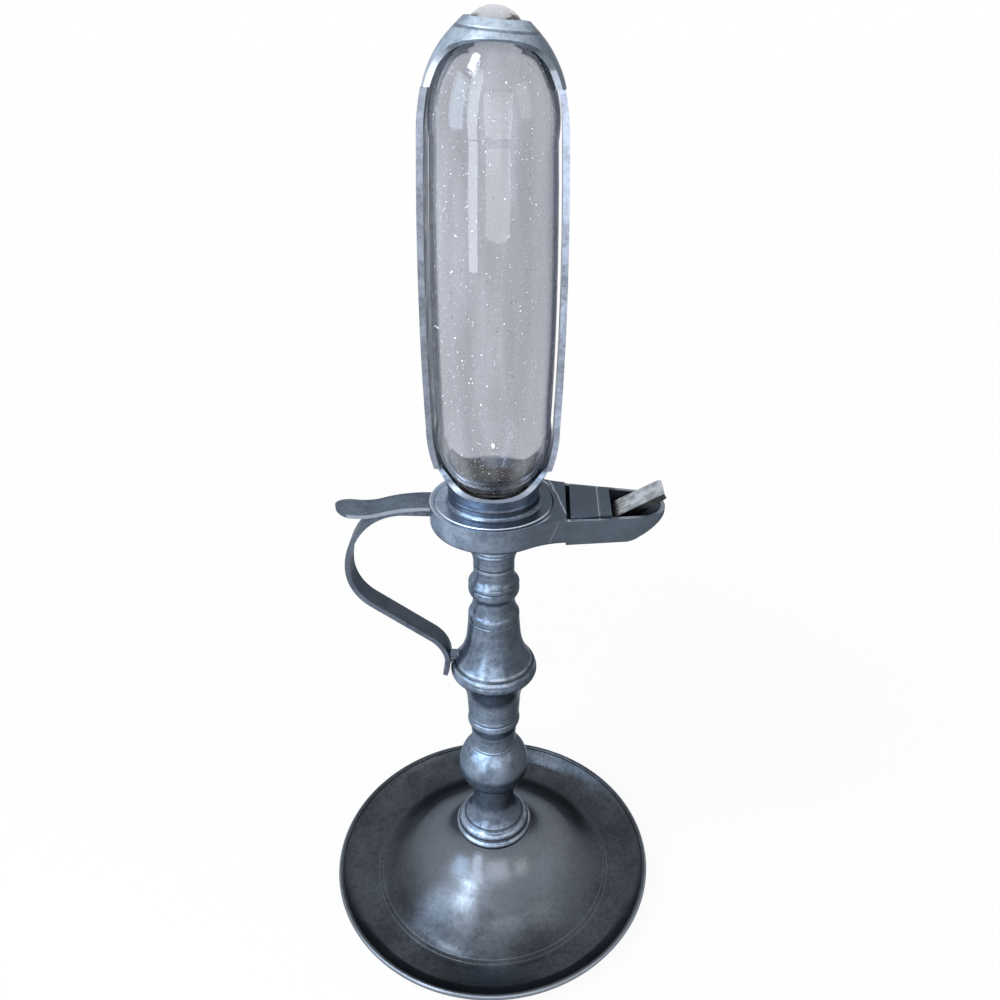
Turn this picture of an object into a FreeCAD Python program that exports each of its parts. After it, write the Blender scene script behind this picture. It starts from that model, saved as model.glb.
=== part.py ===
import FreeCAD, Part
import math
import os
from types import SimpleNamespace

import Sketcher

# Oil lamp clock in pewter: a wide drip dish, a turned baluster stem, an oil font with a
# spout and a handle, and a tall glass oil reservoir held in a cage that screws into the font.
# The origin is the centre of the base on the table, +Z is up, the spout points to +X.

doc = FreeCAD.newDocument("OilLampClock")

# Driving sizes in millimetres, angles in degrees. A turn is the angle an arc goes through.
sizes = {
    # drip dish with its domed middle
    "dish_radius": 67.8,
    "dish_height": 9.7,
    "dish_wall": 2.2,
    "dish_bead": 1.1,
    "dish_rim_slope": 47.0,
    "dish_rise_turn": 43.0,
    "well_width": 3.8,
    "well_line_inset": 2.4,
    "dome_foot_radius": 49.2,
    "dome_foot_turn": 33.0,
    "dome_shoulder_run": 3.7,
    "dome_shoulder_rise": 2.8,
    "dome_shoulder_slope": 40.0,
    "dome_shoulder_turn": 20.0,
    "dome_waist_radius": 27.6,
    "dome_waist_height": 16.8,
    "dome_waist_slope": 26.0,
    "dome_flare_turn": 46.0,
    "dome_top_radius": 15.6,
    "dome_height": 29.4,
    "stem_hole": 8.0,
    # engraved and turned lines
    "line_width": 0.7,
    "line_depth": 0.35,
    "quirk": 0.3,
    # joints between the turned pieces of the stem
    "stem_bore": 6.2,
    "waist_bore": 5.3,
    "stem_channel": 3.8,
    "spigot_length": 3.0,
    "solder_gap": 0.05,
    # foot of the stem
    "foot_radius": 15.2,
    "foot_bead": 2.6,
    "foot_bead_turn": 125.0,
    "foot_round_radius": 12.9,
    "foot_round": 3.3,
    "foot_round_turn": 70.0,
    "foot_neck_radius": 8.4,
    "foot_cove": 10.6,
    "foot_cove_turn": 44.0,
    "foot_neck": 7.8,
    # ball
    "ball_radius": 14.1,
    "ball_top_radius": 8.8,
    "ball_wall": 2.3,
    # collar with its ring
    "collar_foot": 1.0,
    "collar_foot_turn": 60.0,
    "collar_neck_radius": 9.0,
    "collar_neck": 6.0,
    "collar_neck_turn": 13.0,
    "collar_flare": 4.6,
    "collar_flare_turn": 25.0,
    "collar_ring_radius": 10.0,
    "collar_ring": 3.0,
    "collar_ring_turn": 51.0,
    "collar_bead": 2.2,
    "collar_bead_turn": 78.0,
    # cup that carries the great ring
    "cup_foot_radius": 10.1,
    "cup_body_radius": 10.5,
    "cup_body": 7.4,
    "cup_flare": 12.9,
    "cup_flare_turn": 39.0,
    "ring_radius": 16.45,
    "ring_inset": 0.4,
    "ring_height": 2.7,
    "ring_turn": 69.0,
    # bell
    "bell_lip_radius": 15.0,
    "bell_lip": 2.5,
    "bell_lip_turn": 46.0,
    "bell_flare_radius": 10.25,
    "bell_flare": 11.9,
    "bell_flare_turn": 26.0,
    "bell_neck_radius": 9.6,
    "bell_neck": 7.6,
    "bell_band": 1.6,
    "bell_shoulder_radius": 9.0,
    "bell_shoulder": 1.7,
    "bell_shoulder_turn": 41.0,
    "waist_radius": 7.7,
    "bell_waist": 4.7,
    "bell_waist_turn": 12.0,
    "bell_wall": 2.4,
    # knop and neck below the font
    "knop_foot_radius": 8.4,
    "knop_foot": 2.2,
    "knop_foot_turn": 20.0,
    "knop_radius": 9.3,
    "knop_round": 3.8,
    "knop_round_turn": 60.0,
    "knop_bead": 2.2,
    "knop_bead_turn": 80.0,
    "neck_radius": 7.5,
    "knop_cove": 3.6,
    "knop_cove_turn": 46.0,
    "neck_length": 3.0,
    "neck_flare_radius": 8.3,
    "neck_flare": 5.4,
    "neck_flare_turn": 17.0,
    "neck_bead": 1.5,
    "neck_bead_turn": 90.0,
    "neck_bead_step": 0.25,
    "neck_top_radius": 12.0,
    "neck_top": 8.2,
    "neck_top_turn": 38.0,
    # oil font
    "font_radius": 22.4,
    "font_depth": 9.6,
    "font_wall": 1.6,
    "font_corner": 2.2,
    "cover_thickness": 1.2,
    "cover_line_inset": 1.8,
    "lobe_angle": 55.0,
    "lobe_turn": 26.5,
    # screwed socket in the cover
    "socket_bore": 13.7,
    "socket_wall": 1.2,
    "socket_depth": 5.9,
    "socket_ring_width": 1.9,
    "socket_height": 2.8,
    "socket_fillet": 1.2,
    "socket_fillet_turn": 60.0,
    # spout
    "spout_start": 25.0,
    "spout_length": 34.6,
    "spout_nose_curve": 10.0,
    "spout_taper": 8.5,
    "spout_wall": 1.5,
    "spout_rim_drop": 0.4,
    "nose_run": 9.2,
    "nose_bend_run": 4.2,
    "nose_bend_rise": 1.8,
    "nose_bend_turn": 30.0,
    "nose_lip": 1.5,
    "lid_margin": 1.5,
    "lid_length": 9.8,
    "lid_thickness": 1.1,
    "lid_rise": 0.3,
    "lid_gap": 0.2,
    "bridge_width": 4.0,
    "bridge_thickness": 1.2,
    # wick holder
    "wick_pass": 2.9,
    "wick_reach": 17.5,
    "wick_slope": 31.0,
    "wick_width": 11.0,
    "wick_sheet": 0.9,
    "wick_lip": 2.0,
    "wick_cheek_run": 16.8,
    "wick_play": 0.1,
    "wick_corner": 3.6,
    # thumb rest
    "thumb_width": 11.4,
    "thumb_thickness": 1.3,
    "thumb_root_drop": 1.1,
    "thumb_bend_drop": 3.2,
    "thumb_bend_run": 16.0,
    "thumb_root_turn": 20.0,
    "thumb_tip_run": 17.2,
    "thumb_tip_turn": 40.0,
    "thumb_nose_run": 6.2,
    "thumb_nose_turn": 84.0,
    # handle
    "handle_width": 8.4,
    "handle_thickness": 1.8,
    "handle_drop": 4.25,
    "handle_run": 8.6,
    "bow_top_curve": 20.1,
    "bow_top_turn": 52.0,
    "bow_side_curve": 26.8,
    "bow_heel_curve": 18.5,
    "handle_slope": 35.5,
    "tail_curve": 14.0,
    "tail_angle": 24.0,
    "gusset_width": 4.0,
    "gusset_low_angle": 0.0,
    "gusset_top_angle": 9.0,
    # cage of the reservoir
    "washer_thickness": 0.6,
    "washer_width": 1.4,
    "washer_inset": 0.3,
    "thread_gap": 0.05,
    "screw_length": 8.8,
    "cage_bore": 12.0,
    "flange_margin": 0.4,
    "flange_thickness": 0.9,
    "bowl_foot_inset": 0.4,
    "bowl_spread": 0.8,
    "bowl_height": 10.6,
    "bowl_turn": 19.0,
    "bowl_floor": 2.2,
    "cage_wall": 1.8,
    "bowl_front_rise": 4.3,
    "bowl_front_width": 17.0,
    "bowl_front_turn": 90.0,
    "strap_width": 14.0,
    "strap_thickness": 2.0,
    "strap_gap": 0.95,
    "strap_step": 0.1,
    "strap_hip_turn": 19.0,
    "strap_belly_turn": 2.3,
    "strap_chest_turn": 2.4,
    "strap_top_turn": 13.0,
    "strap_top_inset": 1.7,
    "strap_top_rise": 13.7,
    "crown_step": 0.4,
    "crown_arm_gap": 1.7,
    "crown_arm_rise": 1.9,
    "crown_arm_turn": 24.0,
    "crown_top_rise": 4.2,
    "crown_top_turn": 9.0,
    "crown_rim_width": 0.8,
    "crown_wall": 1.6,
    "crown_front_rise": 2.7,
    "crown_front_width": 14.5,
    "crown_front_turn": 76.0,
    "crown_arch_drop": 5.0,
    "crown_tilt": 4.3,
    "crown_cut_rise": 2.8,
    "nipple_gap": 0.35,
    # glass reservoir
    "glass_wall": 1.3,
    "glass_neck_radius": 10.3,
    "glass_neck_drop": 9.6,
    "glass_neck_rise": 2.5,
    "glass_root_radius": 11.4,
    "glass_root": 1.4,
    "glass_root_turn": 52.0,
    "glass_bowl_radius": 18.9,
    "glass_bowl": 23.1,
    "glass_bowl_turn": 56.0,
    "glass_belly_radius": 19.6,
    "glass_belly": 39.0,
    "glass_belly_turn": 2.5,
    "glass_chest_radius": 18.5,
    "glass_chest": 48.0,
    "glass_chest_turn": 2.3,
    "glass_dome_radius": 12.6,
    "glass_dome": 23.3,
    "glass_dome_turn": 44.0,
    "glass_cone_radius": 7.6,
    "glass_cone": 4.4,
    "nipple_radius": 6.2,
    "nipple_foot": 2.0,
    "nipple_foot_turn": 52.0,
    "nipple_height": 4.0,
    # packing between the glass neck and the cage
    "packing_gap": 0.15,
    "packing_drop": 7.6,
}

sheet = doc.addObject("Spreadsheet::Sheet", "Sizes")
for row, (name, value) in enumerate(sizes.items(), start=1):
    sheet.set(f"A{row}", name)
    sheet.set(f"B{row}", str(value))
    sheet.setAlias(f"B{row}", name)


class Size:
    """A number with the sheet formula that gives it."""

    def __init__(self, value, formula):
        self.value = value
        self.formula = formula

    def __add__(self, other):
        other = as_size(other)
        return Size(self.value + other.value, f"({self.formula} + {other.formula})")

    def __sub__(self, other):
        other = as_size(other)
        return Size(self.value - other.value, f"({self.formula} - {other.formula})")

    def __mul__(self, other):
        other = as_size(other)
        return Size(self.value * other.value, f"({self.formula} * {other.formula})")

    def __truediv__(self, other):
        other = as_size(other)
        return Size(self.value / other.value, f"({self.formula} / {other.formula})")

    def __radd__(self, other):
        return as_size(other) + self

    def __rsub__(self, other):
        return as_size(other) - self

    def __rmul__(self, other):
        return as_size(other) * self

    def __neg__(self):
        return Size(-self.value, f"(0 - {self.formula})")


def as_size(number):
    if isinstance(number, Size):
        return number
    return Size(float(number), f"({float(number)})")


def sine(angle):
    angle = as_size(angle)
    return Size(math.sin(math.radians(angle.value)), f"sin({angle.formula})")


def cosine(angle):
    angle = as_size(angle)
    return Size(math.cos(math.radians(angle.value)), f"cos({angle.formula})")


def root(number):
    return Size(math.sqrt(number.value), f"sqrt({number.formula})")


def slant(run, rise):
    """The slanted side of a right-angled triangle."""
    return root(run * run + rise * rise)


def leg(slanted, other):
    """The third side of a right-angled triangle."""
    return root(slanted * slanted - other * other)


s = SimpleNamespace(**{name: Size(value, "Sizes." + name) for name, value in sizes.items()})

# Heights that follow from the stack of pieces.
ball_base = s.dome_height + s.foot_bead + s.foot_round + s.foot_cove + s.foot_neck + s.quirk * 2
ball_centre = ball_base + leg(s.ball_radius, s.foot_neck_radius)
collar_base = ball_centre + leg(s.ball_radius, s.ball_top_radius)
cup_base = (
    collar_base + s.collar_foot + s.collar_neck + s.collar_flare + s.collar_ring + s.quirk
    + s.collar_bead)
bell_base = cup_base + s.cup_body + s.cup_flare + s.ring_height
neck_base = (
    bell_base + s.bell_lip + s.bell_flare + s.bell_neck + s.bell_band + s.bell_shoulder
    + s.bell_waist + s.quirk * 4)
font_base = (
    neck_base + s.knop_foot + s.knop_round + s.knop_bead + s.knop_cove + s.neck_length
    + s.neck_flare + s.neck_bead * 2 + s.neck_top + s.quirk * 2)
font_top = font_base + s.font_depth
socket_top = font_top + s.socket_height
seat = socket_top + s.washer_thickness
bowl_top = seat + s.flange_thickness + s.bowl_height

# Heights of the glass, which the cage follows.
glass_root_z = seat + s.glass_neck_rise + s.glass_root
glass_bowl_z = glass_root_z + s.glass_bowl
glass_belly_z = glass_bowl_z + s.glass_belly
glass_chest_z = glass_belly_z + s.glass_chest
glass_dome_z = glass_chest_z + s.glass_dome
glass_cone_z = glass_dome_z + s.glass_cone
nipple_base = glass_cone_z + s.nipple_foot
glass_top = nipple_base + s.nipple_height
strap_top = glass_chest_z + s.strap_top_rise
bowl_top_radius = s.glass_bowl_radius + s.bowl_spread
strap_top_radius = s.glass_chest_radius + s.strap_gap + s.strap_thickness - s.strap_top_inset

# Places along the spout and radii around the socket.
spout_end = s.spout_start + s.spout_length
spout_rim = font_top - s.spout_rim_drop
lid_end = s.spout_start + s.lid_margin + s.lid_length
bridge_end = lid_end + s.lid_gap + s.bridge_width
socket_ring_radius = s.socket_bore + s.socket_ring_width


class Outline:
    """A closed outline of straight lines and arcs, followed in one direction."""

    def __init__(self, x, y):
        self.corners = [(as_size(x), as_size(y))]
        self.arcs = []

    def line(self, x, y):
        self.corners.append((as_size(x), as_size(y)))
        self.arcs.append(None)

    def arc(self, x, y, radius, side):
        """An arc of a known radius that turns to one side."""
        self.corners.append((as_size(x), as_size(y)))
        self.arcs.append((as_size(radius), side))

    def bend(self, x, y, turn, side):
        """An arc that goes through the angle turn, to one side."""
        run = as_size(x) - self.corners[-1][0]
        rise = as_size(y) - self.corners[-1][1]
        self.arc(x, y, slant(run, rise) / (sine(turn / 2) * 2), side)

    def up(self, x, rise, turn=None, side=None):
        """A line or a bend that ends a given height above the last corner."""
        height = self.corners[-1][1] + rise
        if turn is None:
            self.line(x, height)
        else:
            self.bend(x, height, turn, side)

    def edges(self):
        """Each edge's two corners and its arc, the last edge closing the outline."""
        arcs = self.arcs + [None]
        ends = self.corners[1:] + self.corners[:1]
        if same_point(self.corners[0], self.corners[-1]):
            arcs = self.arcs
            ends = self.corners[1:-1] + self.corners[:1]
        return list(zip(self.corners, ends, arcs))

    def draw(self, sketch):
        joints = []
        for start, end, arc in self.edges():
            a = FreeCAD.Vector(start[0].value, start[1].value, 0)
            b = FreeCAD.Vector(end[0].value, end[1].value, 0)
            if arc is None:
                edge = sketch.addGeometry(Part.LineSegment(a, b), False)
                joints.append((edge, 1, 2))
            else:
                edge = sketch.addGeometry(arc_between(a, b, arc[0].value, arc[1]), False)
                joints.append((edge, 1, 2) if arc[1] == "left" else (edge, 2, 1))
                bind(sketch, "Radius", (edge,), arc[0])
        for (edge, _, end), (following, start, _) in zip(joints, joints[1:] + joints[:1]):
            sketch.addConstraint(Sketcher.Constraint("Coincident", edge, end, following, start))
        for (edge, start, _), (corner, _, _) in zip(joints, self.edges()):
            bind(sketch, "DistanceX", (-1, 1, edge, start), corner[0])
            bind(sketch, "DistanceY", (-1, 1, edge, start), corner[1])


class Hole:
    """A circle around the sketch's origin."""

    def __init__(self, radius):
        self.radius = radius

    def draw(self, sketch):
        centre = FreeCAD.Vector(0, 0, 0)
        circle = Part.Circle(centre, FreeCAD.Vector(0, 0, 1), self.radius.value)
        edge = sketch.addGeometry(circle, False)
        sketch.addConstraint(Sketcher.Constraint("Coincident", edge, 3, -1, 1))
        bind(sketch, "Radius", (edge,), self.radius)


def same_point(a, b):
    return all(abs(p.value - q.value) < 1e-9 for p, q in zip(a, b))


def bind(sketch, kind, places, size):
    index = sketch.addConstraint(Sketcher.Constraint(kind, *places, size.value))
    sketch.setExpression(f"Constraints[{index}]", size.formula)


def arc_between(a, b, radius, side):
    chord = b - a
    rise = math.sqrt(max(radius ** 2 - chord.Length ** 2 / 4, 0.0))
    across = FreeCAD.Vector(-chord.y, chord.x, 0).normalize()
    centre = (a + b) / 2 + across * (rise if side == "left" else -rise)
    first, last = (a, b) if side == "left" else (b, a)
    start = math.atan2(first.y - centre.y, first.x - centre.x)
    end = math.atan2(last.y - centre.y, last.x - centre.x)
    if end < start:
        end += 2 * math.pi
    circle = Part.Circle(centre, FreeCAD.Vector(0, 0, 1), radius)
    return Part.ArcOfCircle(circle, start, end)


def new_body(name):
    body = doc.addObject("PartDesign::Body", name)
    body.Label = name
    return body


def sketch_on(body, plane, outlines, name, height=None):
    """A sketch on one of the body's own origin planes, moved along its normal by height."""
    sketch = body.newObject("Sketcher::SketchObject", name)
    support = [f for f in body.Origin.OriginFeatures if f.Role == plane]
    sketch.AttachmentSupport = [(support[0], "")]
    sketch.MapMode = "FlatFace"
    if height is not None:
        sketch.setExpression("AttachmentOffset.Base.z", height.formula)
    for outline in outlines:
        outline.draw(sketch)
    return sketch


def add_turned(body, outline, name):
    sketch = sketch_on(body, "XZ_Plane", [outline], name + "_profile")
    turned = body.newObject("PartDesign::Revolution", name)
    turned.Profile = sketch
    turned.ReferenceAxis = (sketch, ["V_Axis"])
    turned.Angle = 360
    body.Tip = turned


def add_groove(body, outlines, name):
    sketch = sketch_on(body, "XZ_Plane", outlines, name + "_profile")
    groove = body.newObject("PartDesign::Groove", name)
    groove.Profile = sketch
    groove.ReferenceAxis = (sketch, ["V_Axis"])
    groove.Angle = 360
    body.Tip = groove


def add_pad(body, plane, outlines, length, name, height=None):
    """A pad upwards from the XY plane, or to both sides of an upright plane."""
    pad = body.newObject("PartDesign::Pad", name)
    pad.Profile = sketch_on(body, plane, outlines, name + "_profile", height)
    pad.setExpression("Length", length.formula)
    if plane != "XY_Plane":
        pad.SideType = "Symmetric"
    body.Tip = pad
    return pad


def add_pocket(body, plane, outlines, length, name, height=None):
    """A pocket down from its sketch, or to both sides of an upright plane."""
    pocket = body.newObject("PartDesign::Pocket", name)
    pocket.Profile = sketch_on(body, plane, outlines, name + "_profile", height)
    pocket.setExpression("Length", length.formula)
    if plane != "XY_Plane":
        pocket.SideType = "Symmetric"
    body.Tip = pocket


def line_cut(radius, height):
    """The outline of an engraved line on a level face."""
    half = s.line_width / 2
    cut = Outline(radius - half, height + s.line_depth)
    cut.line(radius - half, height)
    cut.line(radius, height - s.line_depth)
    cut.line(radius + half, height)
    cut.line(radius + half, height + s.line_depth)
    return cut


def offset_point(x, y, distance, slope):
    """The point under a surface that falls outwards at the given slope."""
    return x - distance * sine(slope), y - distance * cosine(slope)


def base_dish():
    body = new_body("base_dish")
    wall = s.dish_wall
    rim_x = s.dish_radius - s.dish_bead * 2
    rim_z = s.dish_height - s.dish_bead
    well_x = s.dome_foot_radius + s.well_width
    shoulder_x = s.dome_foot_radius - s.dome_shoulder_run
    shoulder_z = wall + s.dome_shoulder_rise
    waist = offset_point(s.dome_waist_radius, s.dome_waist_height, wall, s.dome_waist_slope)
    shoulder = offset_point(shoulder_x, shoulder_z, wall, s.dome_shoulder_slope)
    shape = Outline(s.stem_hole, s.dome_height)
    shape.line(s.dome_top_radius, s.dome_height)
    shape.bend(s.dome_waist_radius, s.dome_waist_height, s.dome_flare_turn, "left")
    shape.bend(shoulder_x, shoulder_z, s.dome_shoulder_turn, "right")
    shape.bend(s.dome_foot_radius, wall, s.dome_foot_turn, "left")
    shape.line(well_x, wall)
    shape.bend(rim_x, rim_z, s.dish_rise_turn, "left")
    shape.arc(s.dish_radius - s.dish_bead, s.dish_height, s.dish_bead, "right")
    shape.arc(s.dish_radius, rim_z, s.dish_bead, "right")
    shape.line(rim_x + wall * sine(s.dish_rim_slope), rim_z - wall * cosine(s.dish_rim_slope))
    shape.bend(well_x, 0, s.dish_rise_turn, "right")
    shape.line(s.dome_foot_radius - wall / 2, 0)
    shape.bend(shoulder[0], shoulder[1], s.dome_foot_turn, "right")
    shape.bend(waist[0], waist[1], s.dome_shoulder_turn, "left")
    shape.bend(s.dome_top_radius - wall, s.dome_height - wall, s.dome_flare_turn, "right")
    shape.line(s.stem_hole, s.dome_height - wall)
    add_turned(body, shape, "dish_turned")
    add_groove(body, [line_cut(well_x - s.well_line_inset, wall)], "well_line")
    return body


def stem_piece(name, base, outside, lower_bore, upper_bore, hollow=None):
    """A turned piece with a spigot below and a socket above for the next piece."""
    spigot = lower_bore - s.solder_gap
    shape = Outline(spigot, base)
    outside(shape)
    top = shape.corners[-1][1]
    if upper_bore is None:
        shape.line(0, top)
        shape.line(0, base - s.spigot_length)
    else:
        shape.line(upper_bore, top)
        if hollow is None:
            floor = top - s.spigot_length - s.solder_gap
            shape.line(upper_bore, floor)
            shape.line(s.stem_channel, floor)
        else:
            hollow(shape)
        shape.line(s.stem_channel, base - s.spigot_length)
    shape.line(spigot, base - s.spigot_length)
    body = new_body(name)
    add_turned(body, shape, name + "_turned")
    return body


def stem_foot():
    def outside(shape):
        shape.line(s.foot_radius, s.dome_height)
        shape.up(s.foot_radius, s.foot_bead, s.foot_bead_turn, "left")
        shape.up(s.foot_radius - s.quirk, s.quirk)
        shape.up(s.foot_round_radius, s.foot_round, s.foot_round_turn, "left")
        shape.up(s.foot_round_radius - s.quirk, s.quirk)
        shape.up(s.foot_neck_radius, s.foot_cove, s.foot_cove_turn, "right")
        shape.up(s.foot_neck_radius, s.foot_neck)

    return stem_piece("stem_foot", s.dome_height, outside, s.stem_hole, s.stem_bore)


def stem_ball():
    inner = s.ball_radius - s.ball_wall

    def outside(shape):
        shape.line(s.foot_neck_radius, ball_base)
        shape.arc(s.ball_top_radius, collar_base, s.ball_radius, "left")

    def hollow(shape):
        shape.line(s.stem_bore, ball_centre + leg(inner, s.stem_bore))
        shape.arc(s.stem_channel, ball_centre - leg(inner, s.stem_channel), inner, "right")

    return stem_piece("stem_ball", ball_base, outside, s.stem_bore, s.stem_bore, hollow)


def stem_collar():
    bead_radius = s.collar_ring_radius - s.quirk

    def outside(shape):
        shape.line(s.collar_neck_radius + s.quirk, collar_base)
        shape.up(s.collar_neck_radius, s.collar_foot, s.collar_foot_turn, "left")
        shape.up(s.collar_neck_radius, s.collar_neck, s.collar_neck_turn, "right")
        shape.up(s.collar_ring_radius, s.collar_flare, s.collar_flare_turn, "right")
        shape.up(s.collar_ring_radius, s.collar_ring, s.collar_ring_turn, "left")
        shape.up(bead_radius, s.quirk)
        shape.up(bead_radius, s.collar_bead, s.collar_bead_turn, "left")

    return stem_piece("stem_collar", collar_base, outside, s.stem_bore, s.stem_bore)


def stem_cup():
    def outside(shape):
        shape.line(s.cup_foot_radius, cup_base)
        shape.up(s.cup_body_radius, s.cup_body)
        shape.up(s.ring_radius - s.ring_inset, s.cup_flare, s.cup_flare_turn, "right")
        shape.up(s.ring_radius - s.ring_inset / 2, s.ring_height, s.ring_turn, "left")

    return stem_piece("stem_cup", cup_base, outside, s.stem_bore, s.stem_bore)


def bell_outside(shape):
    shape.line(s.ring_radius - s.ring_inset / 2, bell_base)
    shape.up(s.bell_lip_radius, s.bell_lip, s.bell_lip_turn, "left")
    shape.up(s.bell_lip_radius - s.quirk, s.quirk)
    shape.up(s.bell_flare_radius, s.bell_flare, s.bell_flare_turn, "right")
    shape.up(s.bell_neck_radius, s.bell_neck)
    shape.up(s.bell_neck_radius - s.quirk, s.quirk)
    shape.up(s.bell_neck_radius, s.quirk)
    shape.up(s.bell_neck_radius, s.bell_band)
    shape.up(s.bell_shoulder_radius, s.bell_shoulder, s.bell_shoulder_turn, "left")
    shape.up(s.bell_shoulder_radius - s.quirk, s.quirk)
    shape.up(s.waist_radius, s.bell_waist, s.bell_waist_turn, "right")


def stem_bell():
    lip_z = bell_base + s.bell_lip

    def hollow(shape):
        flare_z = lip_z + s.bell_flare
        shape.line(s.waist_bore, flare_z + s.bell_neck)
        shape.line(s.bell_flare_radius - s.bell_wall, flare_z)
        shape.bend(s.bell_lip_radius - s.bell_wall, lip_z, s.bell_flare_turn, "left")
        shape.line(s.stem_channel, lip_z)

    return stem_piece("stem_bell", bell_base, bell_outside, s.stem_bore, s.waist_bore, hollow)


def stem_neck():
    def outside(shape):
        shape.line(s.waist_radius, neck_base)
        shape.up(s.knop_foot_radius, s.knop_foot, s.knop_foot_turn, "right")
        shape.up(s.knop_radius, s.knop_round, s.knop_round_turn, "left")
        shape.up(s.knop_radius - s.quirk, s.quirk)
        shape.up(s.knop_radius - s.quirk, s.knop_bead, s.knop_bead_turn, "left")
        shape.up(s.knop_radius - s.quirk * 2, s.quirk)
        shape.up(s.neck_radius, s.knop_cove, s.knop_cove_turn, "right")
        shape.up(s.neck_radius, s.neck_length)
        shape.up(s.neck_flare_radius, s.neck_flare, s.neck_flare_turn, "right")
        for bead in (1, 2):
            shape.up(
                s.neck_flare_radius + s.neck_bead_step * bead, s.neck_bead, s.neck_bead_turn,
                "left")
        shape.up(s.neck_top_radius, s.neck_top, s.neck_top_turn, "right")

    return stem_piece("stem_neck", neck_base, outside, s.waist_bore, None)


def spout_half(x, inset):
    """Half of the spout's width at x, inside a wall of the given thickness."""
    slope = sine(s.spout_taper) / cosine(s.spout_taper)
    radius = s.spout_nose_curve - inset
    nose_x = spout_end - s.spout_nose_curve + radius * sine(s.spout_taper)
    return radius * cosine(s.spout_taper) + (nose_x - x) * slope


def font_plan(inset, end):
    """Plan of the font: a round pan with a lobe that runs out into the spout."""
    radius = s.font_radius - inset
    half = spout_half(s.spout_start, inset)
    lobe_x = radius * cosine(s.lobe_angle)
    lobe_y = radius * sine(s.lobe_angle)
    plan = Outline(end, -half)
    plan.line(end, half)
    if end is not s.spout_start:
        plan.line(s.spout_start, half)
    plan.bend(lobe_x, lobe_y, s.lobe_turn, "right")
    plan.arc(-radius, 0, radius, "left")
    plan.arc(lobe_x, -lobe_y, radius, "left")
    plan.bend(s.spout_start, -half, s.lobe_turn, "right")
    if end is not s.spout_start:
        plan.line(end, -half)
    return plan


def font_bowl():
    body = new_body("font_bowl")
    height = s.font_depth - s.cover_thickness
    pad = add_pad(
        body, "XY_Plane", [font_plan(as_size(0), s.spout_start)], height, "bowl_block", font_base)
    doc.recompute()
    rounded = []
    for index, edge in enumerate(pad.Shape.Edges, start=1):
        box = edge.BoundBox
        low = abs(box.ZMax - font_base.value) < 1e-6
        at_spout = box.XMin > s.spout_start.value - 1e-6
        if low and not at_spout:
            rounded.append(f"Edge{index}")
    corner = body.newObject("PartDesign::Fillet", "bowl_corner")
    corner.Base = (pad, rounded)
    corner.setExpression("Radius", s.font_corner.formula)
    body.Tip = corner
    inside = font_plan(s.font_wall, s.spout_start + s.spout_wall)
    add_pocket(
        body, "XY_Plane", [inside], height - s.font_wall, "bowl_inside", font_base + height)
    return body


def font_cover():
    body = new_body("font_cover")
    hole_radius = s.socket_bore + s.socket_wall + s.solder_gap
    add_pad(
        body, "XY_Plane", [font_plan(as_size(0), s.spout_start)], s.cover_thickness,
        "cover_plate", font_top - s.cover_thickness)
    add_pocket(
        body, "XY_Plane", [Hole(hole_radius)], s.cover_thickness * 2, "cover_hole",
        font_top + s.cover_thickness / 2)
    line_radius = s.font_radius - s.cover_line_inset
    add_groove(body, [line_cut(line_radius, font_top)], "cover_line")
    return body


def font_socket():
    sleeve = s.socket_bore + s.socket_wall
    shape = Outline(s.socket_bore, font_top - s.socket_depth)
    shape.line(sleeve, font_top - s.socket_depth)
    shape.line(sleeve, font_top + s.solder_gap)
    shape.line(socket_ring_radius + s.socket_fillet, font_top + s.solder_gap)
    shape.bend(
        socket_ring_radius, font_top + s.socket_fillet, s.socket_fillet_turn, "right")
    shape.line(socket_ring_radius, socket_top)
    shape.line(s.socket_bore, socket_top)
    body = new_body("font_socket")
    add_turned(body, shape, "socket_turned")
    return body


def spout_plan(inset, start):
    """Plan of the spout: straight tapered sides and a round nose."""
    radius = s.spout_nose_curve - inset
    centre_x = spout_end - s.spout_nose_curve
    nose_x = centre_x + radius * sine(s.spout_taper)
    nose_y = radius * cosine(s.spout_taper)
    half = spout_half(start, inset)
    plan = Outline(start, half)
    plan.line(start, -half)
    plan.line(nose_x, -nose_y)
    plan.arc(centre_x + radius, 0, radius, "left")
    plan.arc(nose_x, nose_y, radius, "left")
    return plan


def spout_side(inset, start, top):
    """Side view of the spout: flat bottom that curves up into the sloping nose."""
    lip_z = spout_rim - s.nose_lip
    bend_x = spout_end - s.nose_run
    bend_z = font_base + s.nose_bend_rise
    climb = lip_z - bend_z
    lift_x = inset * climb / slant(s.nose_run, climb)
    lift_z = inset * s.nose_run / slant(s.nose_run, climb)
    side = Outline(start, font_base + inset)
    side.line(bend_x - s.nose_bend_run - inset / 4, font_base + inset)
    side.bend(bend_x - lift_x, bend_z + lift_z, s.nose_bend_turn, "left")
    side.line(spout_end - lift_x, lip_z + lift_z)
    side.line(spout_end - lift_x, top)
    side.line(start, top)
    return side


def padded(name, plane, outline, length, height=None):
    body = new_body(name)
    add_pad(body, plane, [outline], length, name + "_pad", height)
    return body


def boolean(kind, name, base, tool):
    joined = doc.addObject(kind, name)
    joined.Label = name
    joined.Base = base
    joined.Tool = tool
    return joined


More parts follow.
